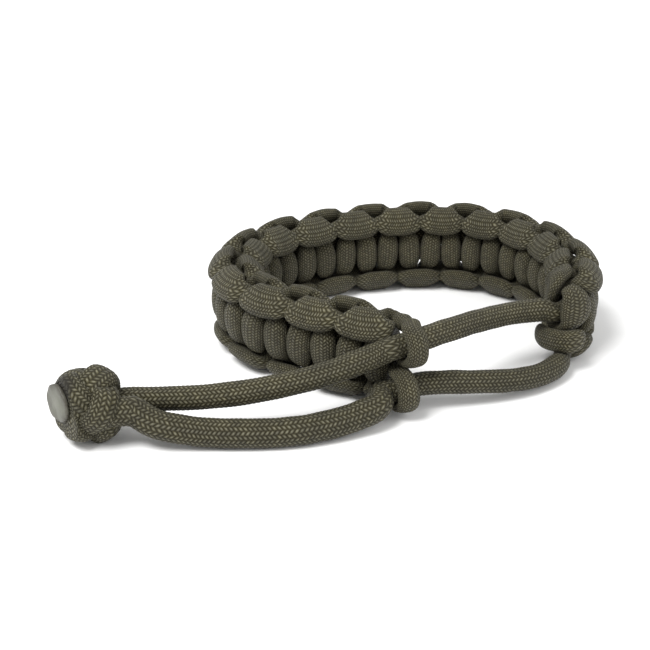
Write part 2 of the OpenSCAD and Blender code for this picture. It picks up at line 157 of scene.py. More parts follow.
def band_points(p):
    """Points given along, across and out of the band, at their places in the room."""
    p = np.asarray(p, float)
    x, y, h = band_frames(p[..., 0])
    out = p[..., 2]
    return np.stack([x - out * np.sin(h), y + out * np.cos(h), BAND_HALF + p[..., 1]], -1)


def band_point(p):
    return band_points(np.array([p], float))[0]


def end_direction(d):
    """A direction given along, across and out at the band's left end, in the room."""
    h = BAND_START[2]
    return np.array([d[0] * cosd(h) - d[2] * sind(h), d[0] * sind(h) + d[2] * cosd(h), d[1]])


def unit(v):
    v = np.asarray(v, float)
    return v / np.linalg.norm(v)


# Routes of the cords, as rows: centre, face direction, half width, half thickness
def row(c, face, half_w, half_t):
    return np.array([*c, *unit(face), half_w, half_t], float)


def station(i, r, side, face, lead):
    """A row of the weave by half knot i, on an edge and a face, before or after the bar's middle."""
    ahead, turn, radius, facing, half_w, half_t = r
    centre = ((i + 0.5 + lead * ahead) * STEP,
              side * (CORE_C + radius * cosd(turn)), face * radius * sind(turn))
    return row(centre, (0, side * cosd(facing), face * sind(facing)), half_w, half_t)


def end_side(i, face):
    """The edge where a bar ends: 1 at the top, -1 at the bottom."""
    return (-1 if i % 2 == 0 else 1) * face


def weave_table(side, face):
    return WEAVE if side > 0 else OUTER_LOW if face > 0 else INNER_LOW


# The way in to a cord's first bar, from the band's left end
START_TOP = [
    (0.08, -39, 0.94 * BUMP_R, -52, 0.28 * BUMP_W, 0.40 * BUMP_T),
    (-0.10, -37, 0.93 * BUMP_R, -49, 0.30 * BUMP_W, 0.41 * BUMP_T),
    (-0.24, -20, 0.55 * PASS_R + 0.45 * BUMP_R, -26, 0.58 * PASS_W, 0.46 * BUMP_T),
]
START_LOW = [
    (0.06, -25, BUMP_R, -34, 0.40 * BUMP_W, 0.43 * BUMP_T),
    INNER_LOW[4],
    INNER_LOW[3],
]


def crossings(face, last):
    """A cord's rows through its half knots, from the first to the last."""
    rows = []
    for i in range(last + 1):
        side = end_side(i, face)
        table = weave_table(-side, face)
        first = (START_TOP if side < 0 else START_LOW) if i == 0 else table[:2:-1]
        rows += [station(i, r, -side, face, -1) for r in first + table[2::-1]]
        rows += [station(i, r, side, face, 1) for r in weave_table(side, face)]
    return rows


LAST_BAR = CROSSINGS - 1
LAST_BAR_W, WRAP_W, WRAP_T, TUCK_W, TUCK_T = 5.2, 4.6, 2.6, 2.2, 1.8
# The outer cord's last bar and the inner cord's wrap: steps along from the band's right end, across
# and out as shares of a bump's radius, face along, across and out, half width, half thickness
END_BEND = [
    (-1.26, 1.23, -0.40, 0, 0.8, -0.6, 0.41 * BUMP_W, 0.47 * BUMP_T),
    (-0.86, 1.20, -0.41, 0.1, 0.7, -0.7, 0.38 * BUMP_W, 0.47 * BUMP_T),
    (-0.53, 1.05, -0.41, 0.3, 0.5, -0.8, 0.34 * BUMP_W, 0.44 * BUMP_T),
    (-0.40, 0.74, -0.45, 0.4, 0.2, -0.9, 0.30 * BUMP_W, 0.41 * BUMP_T),
    (-0.46, 0.38, -0.55, 0.3, 0, -0.95, 0.27 * BUMP_W, 0.38 * BUMP_T),
    (-0.50, 0.08, -0.55, 0.1, -0.3, -0.9, 0.62 * TUCK_W, 0.60 * TUCK_T),
    (-0.36, -0.14, -0.40, 0, -0.7, -0.7, 0.54 * TUCK_W, 0.54 * TUCK_T),
    (-0.22, -0.22, -0.16, 0, -0.95, -0.2, 0.46 * TUCK_W, 0.46 * TUCK_T),
    (-0.23, -0.23, 0.12, 0, -0.9, 0.4, 0.46 * TUCK_W, 0.46 * TUCK_T),
    (-0.32, -0.05, 0.46, 0.1, -0.4, 0.9, 0.36 * LAST_BAR_W, 0.42 * BAR_T),
    (-0.42, 0.28, 0.58, 0.35, 0, 0.94, 0.49 * LAST_BAR_W, 0.50 * BAR_T),
    (-0.47, 0.67, 0.56, 0.35, 0.15, 0.92, 0.49 * LAST_BAR_W, 0.50 * BAR_T),
    (-0.50, 0.96, 0.39, 0.2, 0.6, 0.77, 0.38 * LAST_BAR_W, 0.44 * BAR_T),
    (-0.54, 1.10, 0.12, 0.1, 0.95, 0.2, 0.28 * LAST_BAR_W, 0.36 * BAR_T),
]
END_WRAP = [
    (-1.06, -1.15, 0.49, 0, -0.75, 0.66, 0.40 * BUMP_W, 0.48 * BUMP_T),
    (-0.84, -1.19, 0.43, 0, -0.8, 0.6, 0.31 * BUMP_W, 0.44 * BUMP_T),
    (-0.69, -1.28, 0.13, 0, -1, 0.1, 0.60 * TUCK_W, 0.58 * TUCK_T),
    (-0.60, -1.17, -0.19, 0, -0.9, -0.4, 0.57 * TUCK_W, 0.58 * TUCK_T),
    (-0.40, -0.91, -0.49, 0, -0.6, -0.8, 0.60 * TUCK_W, 0.54 * TUCK_T),
    (-0.16, -0.70, -0.60, 0.3, -0.2, -0.93, 0.64 * TUCK_W, 0.55 * TUCK_T),
    (0.14, -0.58, -0.46, 0.7, 0, -0.7, 0.38 * WRAP_W, 0.42 * WRAP_T),
    (0.30, -0.55, -0.08, 1, 0, 0, 0.45 * WRAP_W, 0.50 * WRAP_T),
    (0.28, -0.50, 0.34, 0.95, 0, 0.3, 0.48 * WRAP_W, 0.50 * WRAP_T),
    (0.12, -0.45, 0.70, 0.6, 0, 0.8, 0.48 * WRAP_W, 0.50 * WRAP_T),
    (-0.12, -0.44, 0.89, 0.1, 0, 1, 0.49 * WRAP_W, 0.50 * WRAP_T),
    (-0.30, -0.44, 0.88, -0.4, 0, 0.9, 0.44 * WRAP_W, 0.46 * WRAP_T),
    (-0.41, -0.44, 0.79, -0.7, 0, 0.7, 0.30 * WRAP_W, 0.36 * WRAP_T),
]


def end_rows(rows):
    return [row((BAND_LEN + r[0] * STEP, r[1] * BUMP_R, r[2] * BUMP_R), r[3:6], r[6], r[7])
            for r in rows]


outer_rows = crossings(1, LAST_BAR - 1)[:-1] + end_rows(END_BEND)
inner_rows = crossings(-1, LAST_BAR - 1) + end_rows(END_WRAP)

# The collars' holes, along, across and out, and the way that the cord goes through each
UPPER_HOLE, LOWER_HOLE = (-HOLE_REACH, 4.05, 2.8), (-HOLE_REACH + 0.9, -4.02, 4.9)
UPPER_WAY, LOWER_WAY = unit((0.69, -0.12, 0.71)), unit((0.68, -0.12, 0.70))
# The core cords: where they start, how far from the right end they stop running straight, how far
# they go past their holes, their radius inside the band and half way out of it
CORE_START, CORE_STOP, PAST_HOLE = 1.2, 1.2 * STEP, 2
INSIDE_R = CORE_R - 0.1
HALF_OUT_R, CORE_AT = 0.5 * INSIDE_R + 0.25 * BRIDGE_D, CORE_C / BUMP_R
# The bridge: rows along it, and how strongly it is drawn into line with its hole
BRIDGE_ROWS, HOLE_PULL = 7, 9
# Their way out: steps along, across and out as shares of a bump's radius, radius
UPPER_EXIT = [
    (-0.93, CORE_AT, 0, INSIDE_R),
    (-0.44, 0.31, 0, INSIDE_R),
    (-0.04, 0.31, -0.04, HALF_OUT_R),
    (0.36, 0.41, -0.18, BRIDGE_D / 2),
]
LOWER_EXIT = [
    (-1.05, -CORE_AT, 0, INSIDE_R),
    (-0.80, -0.36, 0.02, INSIDE_R),
    (-0.60, -0.54, 0.07, INSIDE_R),
    (-0.44, -0.78, 0.19, INSIDE_R),
    (-0.24, -0.95, 0.36, INSIDE_R),
    (-0.04, -1.10, 0.54, INSIDE_R),
    (0.17, -1.17, 0.72, HALF_OUT_R),
    (0.48, -1.14, 0.92, BRIDGE_D / 2),
]
# Heading, rise and strength of the way that each sets out on
UPPER_AIM, LOWER_AIM = (-172, 0.02, 9), (-121, 0, 14)


def bezier(a, b, c, d, t):
    return (1 - t) ** 3 * a + 3 * (1 - t) ** 2 * t * b + 3 * (1 - t) * t * t * c + t ** 3 * d


def exit_point(e):
    return band_point((BAND_LEN + e[0] * STEP, e[1] * BUMP_R, e[2] * BUMP_R))


def core_rows(side, exits, aim, hole, way):
    """A core cord's rows: inside the band, out of its end and over the bridge to its hole."""
    out = exit_point(exits[-1])
    far, direction = band_point(hole), end_direction(way)
    up = (0, 0, 1)
    rows = []
    s = CORE_START
    while s <= BAND_LEN - CORE_STOP + 1e-6:
        rows.append(row(band_point((s, side * CORE_C, 0)), up, INSIDE_R, INSIDE_R))
        s += STEP
    rows += [row(exit_point(e), up, e[3], e[3]) for e in exits]
    b = out + aim[2] * np.array([cosd(aim[0]), sind(aim[0]), aim[1]])
    c = far - HOLE_PULL * direction
    bridge = [bezier(out, b, c, far, k / BRIDGE_ROWS) for k in range(1, BRIDGE_ROWS + 1)]
    bridge.append(far + PAST_HOLE * direction)
    return rows + [row(p, up, BRIDGE_D / 2, BRIDGE_D / 2) for p in bridge]


# The collars: play round their cord, and thickness and half width of their legs
COLLAR_PLAY, LEG_T, LEG_W = SEAM + 0.2, 0.56 * COLLAR_T, 0.46 * COLLAR_W
# Way back from the first row of the bump, and shares of that row's width and thickness. A bight is
# one cord with its weave, so its look starts a little way inside the bump.
COLLAR_ROOT = [(-0.5, 0.97, 0.97), (0.2 * BUMP_W, 0.76, 0.8)]
# Steps along, across and out as shares of a bump's radius, share of the thickness
UPPER_LEAD = [(-0.02, 0.77, -0.46, 0.68), (-0.33, 0.69, -0.20, 0.80), (-0.56, 0.92, 0.13, 0.60)]
LOWER_LEAD = [(-0.02, 0.93, 0.54, 0.56), (-0.30, 0.95, 0.74, 0.56)]
ARCH_ANGLES = range(30, 181, 30)
# The tucked end: along, out as a share of the hole's, half width and half thickness
COLLAR_TUCK = [(-0.7, 0.1, 0.8 * CORE_R, 0.7 * CORE_R),
               (CORE_START - 3 * SEAM, 0, 0.8 * CORE_R, 0.8 * CORE_R)]


def collar_rows(hole, way, side, face, lead):
    """A collar's rows: out of the bump, over its hole and back in beside the core cord."""
    up, front = np.array([0, side, 0.0]), unit((-way[2], 0, way[0]))
    hole = np.array(hole, float)
    start = START_TOP if side > 0 else START_LOW
    first, second = (station(0, r, side, face, -1) for r in start[:2])
    back = unit(first[:3] - second[:3])
    rows = [row(first[:3] + off * back, first[3:6], w * first[6], thin * first[7])
            for off, w, thin in COLLAR_ROOT]
    rows += [row((q[0] * STEP, side * (CORE_C + q[1] * BUMP_R), q[2] * BUMP_R), up, LEG_W,
                 q[3] * COLLAR_T / 2) for q in lead]
    for a in ARCH_ANGLES:
        out = cosd(a) * up + sind(a) * front
        thick = LEG_T + (COLLAR_T - LEG_T) * sind(a) ** 2
        middle = hole + (BRIDGE_D / 2 + COLLAR_PLAY + thick / 2) * out
        rows.append(row(middle, out, COLLAR_W / 2, thick / 2))
    return rows + [row((q[0], side * CORE_C, q[1] * hole[2]), (0, -side, 0), q[2], q[3])
                   for q in COLLAR_TUCK]


# The pull cords, by x, y and the height of the cord's underside
UPPER_ROUTE = [(-7.2, -31, 9.2), (-12.7, -33.7, 8.1), (-20.2, -36.5, 6.9),
               (-28.7, -38, 5.8), (-36.7, -38.4, 4.9), (-44.7, -37.8, 4.3)]
LOWER_ROUTE = [(-6.7, -36.1, 1.4), (-12.7, -39.6, 0.5), (-20.2, -42.3, 0.2),
               (-28.7, -43.2, 0.1), (-36.7, -43.2, 0.4), (-43.7, -43.4, 1.8)]
# Steps between two of their points, and how far they run straight at each end
CURVE_STEPS, LEAD_IN = 3, 1.5
# The knot: middle, heading, how the two cords lie in it, its lobes and its cut end
KNOT_AT, KNOT_HEADING, KNOT_Z = (-56.2, -40.1), 186, KNOT_R + 0.2
UPPER_LEAN, LOWER_LEAN = 105, 80
LOBE_SWING, LOBE_PHASE = 0.75, 82
LOBE_MIDDLE, LOBE_TILT = KNOT_R - LOBE_T / 2 - LOBE_SWING, 0.8
# Its cord goes this often from end to end and back, and this often round, before it meets itself
LOBES, PASSES, LOBE_ROWS = 4, 3, 145
STUB_END, STUB_HOLD = KNOT_HALF + 3, 0.45
MELT_AT, MELT_TURN, MELT_PRESS = (KNOT_HALF + 1, 1.4, 1.3), 30, 0.94


def knot_points(p):
    """Points given along, across and up from the knot's middle, at their places in the room."""
    p = np.asarray(p, float)
    c, s = cosd(KNOT_HEADING), sind(KNOT_HEADING)
    along, across = p[..., 0], p[..., 1]
    return np.stack([KNOT_AT[0] + along * c - across * s, KNOT_AT[1] + along * s + across * c,
                     KNOT_Z + p[..., 2]], -1)


def knot_point(p):
    return knot_points(np.array([p], float))[0]


def stack_point(side, along):
    """Middle of a pull cord where the two lie against each other in the knot."""
    r = (UPPER_PULL_D if side > 0 else LOWER_PULL_D) / 2 + SEAM
    lean = UPPER_LEAN if side > 0 else LOWER_LEAN
    return along, -side * r * sind(lean), side * r * cosd(lean)


def curve(p):
    """Smooth curve through a list of points, the same one that the solids follow."""
    p, last, out = [np.asarray(q, float) for q in p], len(p) - 1, []
    for i in range(last):
        a, b, c, d = p[max(i - 1, 0)], p[i], p[i + 1], p[min(i + 2, last)]
        for j in range(CURVE_STEPS):
            t = j / CURVE_STEPS
            out.append(0.5 * (2 * b + (c - a) * t + (2 * a - 5 * b + 4 * c - d) * t * t
                              + (3 * b - a - 3 * c + d) * t ** 3))
    return out + [p[last]]


def pull_path(side, d, hole, way, route):
    """Middle of a pull cord from its collar to the knot."""
    direction = end_direction(way)
    start = band_point(hole) + (PAST_HOLE + SEAM) * direction
    finish = knot_point(stack_point(side, -STUB_END - SEAM))
    before = knot_point(stack_point(side, -STUB_END - LEAD_IN))
    middle = [np.array([x, y, z + d / 2]) for x, y, z in route]
    return [start] + curve([start + LEAD_IN * direction] + middle + [before]) + [finish]


# Swept, braided cords
# Rows of the braid round a cord, and the length of one pick along it
SLACK_BRAID = (20, 0.80)
KNOT_BRAID = (20, 0.60)
WEAVE_BRAID = (24, 0.50)
# How far a pick leans across its row, in picks, and how far its height falls to the row's sides
SLANT, PICK_CROWN = 0.60, 0.60
# The distance between rings and the points round each
KNOT_MESH, PULL_MESH, WEAVE_MESH, COLLAR_MESH = (0.15, 64), (0.13, 96), (0.41, 48), (0.15, 80)
# The pace of a route's curve: least gap between rows, its power, and steps from row to row
LEAST_GAP, GAP_POWER, ROW_STEPS = 0.2, 0.75, 24
# Waves of the uneven surface, their length and its spread, and what brings their sum to about 1
LUMP_WAVES, LUMP_LENGTH, LUMP_SPREAD, LUMP_SUM = 7, 5.0, (0.7, 1.6), 2.6
# A wave starts anywhere in a turn. No half width or half thickness counts as less than THINNEST
# where the way out of a cord is worked out.
ANY_PHASE, THINNEST = 6.28, 0.1


def braid_height(u, v, rows_round):
    """Height, 0 to 1, of the braid at a share u round the cord and v picks along it."""
    r = np.floor(u * rows_round + 1e-9)
    fx = u * rows_round - r - 0.5
    odd = np.mod(r, 2)
    y = v - (1 - 2 * odd) * fx * SLANT + 0.5 * odd
    fy = y - np.floor(y) - 0.5
    return (1 - PICK_CROWN * (2 * fx) ** 2) * (1 - (2 * fy) ** 2)


def resample(rows, spacing):
    """A smooth curve through the rows, sampled evenly, or at the lengths that a function gives."""
    p = np.array(rows)
    gap = np.linalg.norm(np.diff(p[:, :3], axis=0), axis=1)
    t = np.concatenate([[0], np.cumsum(np.maximum(gap, LEAST_GAP) ** GAP_POWER)])
    h = np.diff(t)[:, None]
    d = np.diff(p, axis=0) / h
    m = np.empty_like(p)
    m[0], m[-1] = d[0], d[-1]
    m[1:-1] = (h[1:] * d[:-1] + h[:-1] * d[1:]) / (h[1:] + h[:-1])
    x = np.linspace(0, 1, ROW_STEPS, endpoint=False)[None, :, None]
    a, b, ma, mb, hh = (q[:, None, :] for q in (p[:-1], p[1:], m[:-1], m[1:], h))
    f = ((2 * x ** 3 - 3 * x ** 2 + 1) * a + (x ** 3 - 2 * x ** 2 + x) * hh * ma
         + (-2 * x ** 3 + 3 * x ** 2) * b + (x ** 3 - x ** 2) * hh * mb).reshape(-1, p.shape[1])
    f = np.vstack([f, p[-1]])
    s = np.concatenate([[0], np.cumsum(np.linalg.norm(np.diff(f[:, :3], axis=0), axis=1))])
    if np.isscalar(spacing):
        at = np.linspace(0, s[-1], max(2, int(round(s[-1] / spacing)) + 1))
    else:
        at = spacing(s[-1])
    return np.stack([np.interp(at, s, f[:, j]) for j in range(f.shape[1])], 1), at


def lumps(p, amount, seed):
    """A gentle unevenness of the surface, from a few waves through space."""
    rng = np.random.default_rng(seed)
    out = np.zeros(p.shape[:-1])
    for _ in range(LUMP_WAVES):
        k = rng.normal(size=3)
        k *= 2 * math.pi / (LUMP_LENGTH * rng.uniform(*LUMP_SPREAD) * np.linalg.norm(k))
        out += np.sin(p @ k + rng.uniform(0, ANY_PHASE))
    return amount * out / LUMP_SUM


def sweep(name, rows, spacing, around, place=None, relief=0.0, square=2.3, closed=False,
          uneven=0.06, seed=1, braid=SLACK_BRAID):
    """A cord's mesh along its rows: a rounded, flattened tube with the relief of its braid."""
    f, at = resample(rows, spacing)
    if closed:
        f, at = f[:-1], at[:-1]
    c, n = f[:, :3], f[:, 3:6]
    half_w, half_t = f[:, 6, None], f[:, 7, None]
    if closed:
        t = np.roll(c, -1, 0) - np.roll(c, 1, 0)
    else:
        t = np.gradient(c, axis=0)
    t /= np.linalg.norm(t, axis=1)[:, None]
    n = n - (n * t).sum(1)[:, None] * t
    n /= np.linalg.norm(n, axis=1)[:, None]
    w = np.cross(t, n)

    # the rounded section, and the way out of the cord at each of its points
    a = 2 * math.pi * np.arange(around) / around
    ca, sa = np.cos(a), np.sin(a)
    power = 2 / square
    cx, sx = np.sign(ca) * np.abs(ca) ** power, np.sign(sa) * np.abs(sa) ** power
    off = w[:, None, :] * (half_w * cx)[..., None] + n[:, None, :] * (half_t * sx)[..., None]
    outward = w[:, None, :] * (ca / np.maximum(half_w, THINNEST))[..., None] \
        + n[:, None, :] * (sa / np.maximum(half_t, THINNEST))[..., None]
    outward /= np.linalg.norm(outward, axis=2)[..., None]

    # a closed cord holds a whole number of picks
    length = at[-1] + (at[1] - at[0] if closed else 0)
    pick = length / round(length / braid[1]) if closed else braid[1]
    u, v = np.meshgrid(np.arange(around) / around, at / pick)
    q = c[:, None, :] + off
    lift = lumps(q, uneven, seed)
    if relief:
        lift = lift + relief * (braid_height(u, v, braid[0]) - 0.5)
    q = q + outward * lift[..., None]
    if place is not None:
        q = place(q)
    verts = q.reshape(-1, 3) * MM

    rings = len(c)
    i = np.arange(rings if closed else rings - 1)[:, None]
    k = np.arange(around)[None, :]
    i2, k2 = (i + 1) % rings, (k + 1) % around
    corners = (i * around + k, i * around + k2, i2 * around + k2, i2 * around + k)
    faces = np.stack(corners, -1).reshape(-1, 4).tolist()
    size = (len(i), around)
    ua = np.broadcast_to(k / around, size).reshape(-1)
    ub = ua + 1 / around
    va = np.broadcast_to(at[:len(i), None] / pick, size).reshape(-1)
    step = np.append(np.diff(at), at[1] - at[0])[:len(i), None] / pick
    vb = va + np.broadcast_to(step, size).reshape(-1)
    uvs = np.stack([np.stack(uv, 1) for uv in ((ua, va), (ub, va), (ub, vb), (ua, vb))], 1)
    uvs = uvs.reshape(-1, 2)
    if not closed:
        # a fan of triangles closes each end
        first = len(verts)
        verts = np.vstack([verts, verts[:around].mean(0), verts[-around:].mean(0)])
        base = (rings - 1) * around
        k = np.arange(around)
        low = np.stack([k, np.full(around, first), (k + 1) % around], 1)
        high = np.stack([base + k, base + (k + 1) % around, np.full(around, first + 1)], 1)
        faces += low.tolist() + high.tolist()
        uvs = np.vstack([uvs, np.zeros((3 * (len(low) + len(high)), 2))])
    return make_object(name, verts, faces, uvs)


def make_object(name, verts, faces, uvs=None):
    me = bpy.data.meshes.new(name)
    me.from_pydata(verts.tolist(), [], faces)
    if uvs is not None:
        layer = me.uv_layers.new(name="UVMap")
        layer.data.foreach_set("uv", np.ascontiguousarray(uvs, dtype=np.float32).ravel())
    me.polygons.foreach_set("use_smooth", np.ones(len(me.polygons), dtype=bool))
    me.update()
    ob = bpy.data.objects.new(name, me)
    bpy.context.collection.objects.link(ob)
    return ob


# Materials
# The nylon's colours, from the gaps between the picks to their tops: its own colour in the middle,
# painted shade in the gaps and a painted highlight on the tops
CORD_STOPS_PAINTED_LIGHT = [
    (0.0, (0.011, 0.009, 0.002)),
    (0.35, (0.026, 0.0225, 0.0085)),
    (0.72, (0.054, 0.049, 0.023)),
    (1.0, (0.136, 0.131, 0.096)),
]
BROWNER, BROWN_SHARE, SOOT = (1.12, 1.0, 0.78, 1), 0.35, (0.014, 0.012, 0.009, 1)
# Yarns in a pick and their relief, and the relief of the fine grain
YARNS, YARN_RELIEF, GRAIN_RELIEF = 4, 0.06, 0.10
# What a value from 0 to 1 adds and where it starts: each pick's tone, wear, grain, roughness
TONE, WEAR, GRAIN, CORD_ROUGH = (0.50, 0.75), (0.5, 0.75), (0.3, 0.85), (-0.20, 0.72)
# The scorch, in metres: how wide and how ragged its edge is. How much of the colour it takes.
SCORCH_EDGE, SCORCH_RAGGED, SCORCH_SHARE = 0.0012, 0.0022, 0.80
# The melted nylon's colours, and those of its burnt rim and of its darker top
MELT_STOPS = [
    (0.25, (0.060, 0.058, 0.043)),
    (0.45, (0.105, 0.106, 0.080)),
    (0.75, (0.160, 0.164, 0.130)),
]
CHAR, TOP_DARK = (0.035, 0.028, 0.018, 1), (0.045, 0.042, 0.034, 1)
CHAR_STREAKS, MELT_ROUGH = (1.5, -0.05), (0.3, 0.32)
# The darkening towards the top starts at a height and is full so much above it, both in metres. How
# much it covers.
TOP_DARK_FROM, TOP_DARK_OVER, TOP_DARK_SHARE = 0.0082, 0.004, 0.6


class Graph:
    """Short calls for a material's nodes."""

    def __init__(self, name):
        self.mat = bpy.data.materials.new(name)
        self.mat.use_nodes = True
        self.tree = self.mat.node_tree
        self.shader = self.tree.nodes["Principled BSDF"]

    def node(self, kind, **settings):
        n = self.tree.nodes.new(kind)
        for key, value in settings.items():
            setattr(n, key, value)
        return n

    def put(self, socket, value):
        if isinstance(value, bpy.types.NodeSocket):
            self.tree.links.new(value, socket)
        else:
            socket.default_value = value

    def math(self, op, *args, clamp=False):
        n = self.node("ShaderNodeMath", operation=op, use_clamp=clamp)
        for socket, value in zip(n.inputs, args):
            self.put(socket, value)
        return n.outputs[0]

    def mix(self, factor, a, b, blend="MIX"):
        n = self.node("ShaderNodeMix", data_type="RGBA", blend_type=blend)
        self.put(n.inputs[0], factor)
        self.put(n.inputs[6], a)
        self.put(n.inputs[7], b)
        return n.outputs[2]

    def ramp(self, value, stops):
        n = self.node("ShaderNodeValToRGB")
        e = n.color_ramp.elements
        while len(e) < len(stops):
            e.new(0.5)
        for el, (at, colour) in zip(e, stops):
            el.position = at
            el.color = (*colour, 1)
        self.put(n.inputs[0], value)
        return n.outputs[0]

    def place(self):
        return self.node("ShaderNodeTexCoord").outputs["Object"]

    def split(self, vector):
        n = self.node("ShaderNodeSeparateXYZ")
        self.put(n.inputs[0], vector)
        return n.outputs

    def noise(self, vector, scale, detail, roughness=0.5):
        n = self.node("ShaderNodeTexNoise")
        self.put(n.inputs["Vector"], vector)
        n.inputs["Scale"].default_value = scale
        n.inputs["Detail"].default_value = detail
        n.inputs["Roughness"].default_value = roughness
        return n.outputs[0]

    def surface(self, **values):
        """Set the shader's inputs, named with _ for each space."""
        for key, value in values.items():
            self.put(self.shader.inputs[key.replace("_", " ")], value)

    def bump(self, height, strength, distance):
        n = self.node("ShaderNodeBump")
        n.inputs["Strength"].default_value = strength
        n.inputs["Distance"].default_value = distance
        self.put(n.inputs["Height"], height)
        self.put(self.shader.inputs["Normal"], n.outputs[0])


def cord_material(name, seed, braid=SLACK_BRAID, painted_shade_scale=1.0, scorch=None):
    """Braided nylon. A scorch is given by its middle and its reach, in metres. A scale below 1 darkens
    all its colours as painted shade.
    """
    g = Graph(name)
    uv = g.split(g.node("ShaderNodeUVMap", uv_map="UVMap").outputs[0])
    # the same picks as in the mesh: a point's place across and along its own
    across = g.math("MULTIPLY", uv[0], float(braid[0]))
    line = g.math("FLOOR", across)
    fx = g.math("SUBTRACT", g.math("SUBTRACT", across, line), 0.5)
    odd = g.math("MODULO", g.math("ADD", line, 64.0), 2.0)
    turn = g.math("MULTIPLY_ADD", odd, -2.0, 1.0)
    lean = g.math("MULTIPLY", g.math("MULTIPLY", fx, SLANT), turn)
    y = g.math("ADD", g.math("SUBTRACT", uv[1], lean), g.math("MULTIPLY", odd, 0.5))
    pick = g.math("FLOOR", y)
    fy = g.math("SUBTRACT", g.math("SUBTRACT", y, pick), 0.5)
    fx2, fy2 = g.math("MULTIPLY", fx, 2.0), g.math("MULTIPLY", fy, 2.0)
    hx = g.math("MULTIPLY_ADD", g.math("MULTIPLY", fx2, fx2), -PICK_CROWN, 1.0)
    hy = g.math("SUBTRACT", 1.0, g.math("MULTIPLY", fy2, fy2))
    height = g.math("MULTIPLY", hx, hy)
    # yarns along each pick
    yarn = g.math("SINE", g.math("MULTIPLY", fy, 2 * math.pi * YARNS))
    with_yarns = g.math("MULTIPLY_ADD", g.math("MULTIPLY", yarn, hy), YARN_RELIEF, height)
    # each pick has its own tone
    key = g.node("ShaderNodeCombineXYZ")
    for socket, value in zip(key.inputs, (line, pick, float(seed))):
        g.put(socket, value)
    white = g.node("ShaderNodeTexWhiteNoise", noise_dimensions="3D")
    g.put(white.inputs["Vector"], key.outputs[0])
    tone = g.math("MULTIPLY_ADD", white.outputs["Value"], *TONE)
    # colour by the picks' height: painted shade in the gaps between them and a painted highlight on
    # their tops
    colour = g.ramp(with_yarns, [(at, [painted_shade_scale * c for c in stop]) for at, stop in CORD_STOPS_PAINTED_LIGHT])
    # wear and grain
    place = g.place()
    fine = g.noise(place, scale=900.0, detail=3.0, roughness=0.6)
    wear = g.math("MULTIPLY_ADD", g.noise(place, scale=90.0, detail=2.0), *WEAR)
    shade = g.math("MULTIPLY", g.math("MULTIPLY", tone, wear), g.math("MULTIPLY_ADD", fine, *GRAIN))
    grey = g.node("ShaderNodeCombineColor")
    for k in range(3):
        g.put(grey.inputs[k], shade)
    colour = g.mix(1.0, colour, grey.outputs[0], "MULTIPLY")
    # a slight drift between greener and browner nylon
    drift = g.math("MULTIPLY", g.noise(place, scale=45.0, detail=2.0), BROWN_SHARE)
    colour = g.mix(drift, colour, g.mix(1.0, colour, BROWNER, "MULTIPLY"))
    if scorch is not None:
        # the sheath is singed near a point, over a ragged edge
        away = g.node("ShaderNodeVectorMath", operation="DISTANCE")
        g.put(away.inputs[0], place)
        away.inputs[1].default_value = scorch[0]
        rough = g.noise(place, scale=700.0, detail=3.0, roughness=0.7)
        ragged = g.math("MULTIPLY_ADD", rough, SCORCH_RAGGED, away.outputs["Value"])
        singed = g.math("MULTIPLY_ADD", ragged, -1 / SCORCH_EDGE, scorch[1] / SCORCH_EDGE, clamp=True)
        colour = g.mix(g.math("MULTIPLY", singed, SCORCH_SHARE), colour, SOOT)
    g.surface(Base_Color=colour, Roughness=g.math("MULTIPLY_ADD", height, *CORD_ROUGH),
              Specular_IOR_Level=0.28, Sheen_Weight=0.03, Sheen_Roughness=0.5)
    g.bump(g.math("MULTIPLY_ADD", fine, GRAIN_RELIEF, with_yarns), strength=0.8, distance=0.00036)
    return g.mat


def melted_material(name):
    """Dull, clouded, melted nylon with a burnt rim, darker towards the top."""
    g = Graph(name)
    place = g.place()
    cloud = g.noise(place, scale=350.0, detail=4.0, roughness=0.6)
    streak = g.noise(place, scale=1400.0, detail=3.0, roughness=0.6)
    rim = g.node("ShaderNodeSeparateColor")
    g.put(rim.inputs[0], g.node("ShaderNodeVertexColor", layer_name="rim").outputs[0])
    streaks = g.math("MULTIPLY_ADD", streak, *CHAR_STREAKS)
    burnt = g.math("MULTIPLY", rim.outputs[0], streaks, clamp=True)
    colour = g.mix(burnt, g.ramp(cloud, MELT_STOPS), CHAR)
    height = g.split(place)[2]
    toward_top = g.math("MULTIPLY_ADD", height, 1 / TOP_DARK_OVER, -TOP_DARK_FROM / TOP_DARK_OVER, clamp=True)
    colour = g.mix(g.math("MULTIPLY", toward_top, TOP_DARK_SHARE), colour, TOP_DARK)
    g.surface(Base_Color=colour, Roughness=g.math("MULTIPLY_ADD", streak, *MELT_ROUGH),
              Specular_IOR_Level=0.5)
    g.bump(g.math("ADD", cloud, g.math("MULTIPLY", streak, 0.3)), strength=0.5, distance=0.0002)
    return g.mat


def finish_piece(ob, node, mat):
    """Give a piece its material, and have it ride and stand for the node of the solids."""
    ob.data.materials.append(mat)
    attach(ob, "root")
    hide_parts(node)
    return ob


# The knot and its melted end
def lobe_row(t):
    """The row of the knot's cord at an angle round the knot."""
    a = LOBE_PHASE - t
    end = cosd(LOBES * t / PASSES)
    r = LOBE_MIDDLE + LOBE_SWING * sind(2 * LOBES * t / PASSES)
    out = np.array([0, cosd(a), sind(a)])
    return row(np.array([KNOT_HALF * end, 0, 0]) + r * out,
               out + np.array([LOBE_TILT * end, 0, 0]), LOBE_W / 2, LOBE_T / 2)


def trimmed(q):
    """The knot's surface with its end pressed flat where the cords were cut and melted."""
    n = np.array([cosd(MELT_TURN), sind(MELT_TURN), 0])
    over = np.maximum(0, (q - np.array(MELT_AT)) @ n)
    return knot_points(q - MELT_PRESS * over[..., None] * n)


knot_rows = [lobe_row(t) for t in np.linspace(0, 360 * PASSES, LOBE_ROWS)]
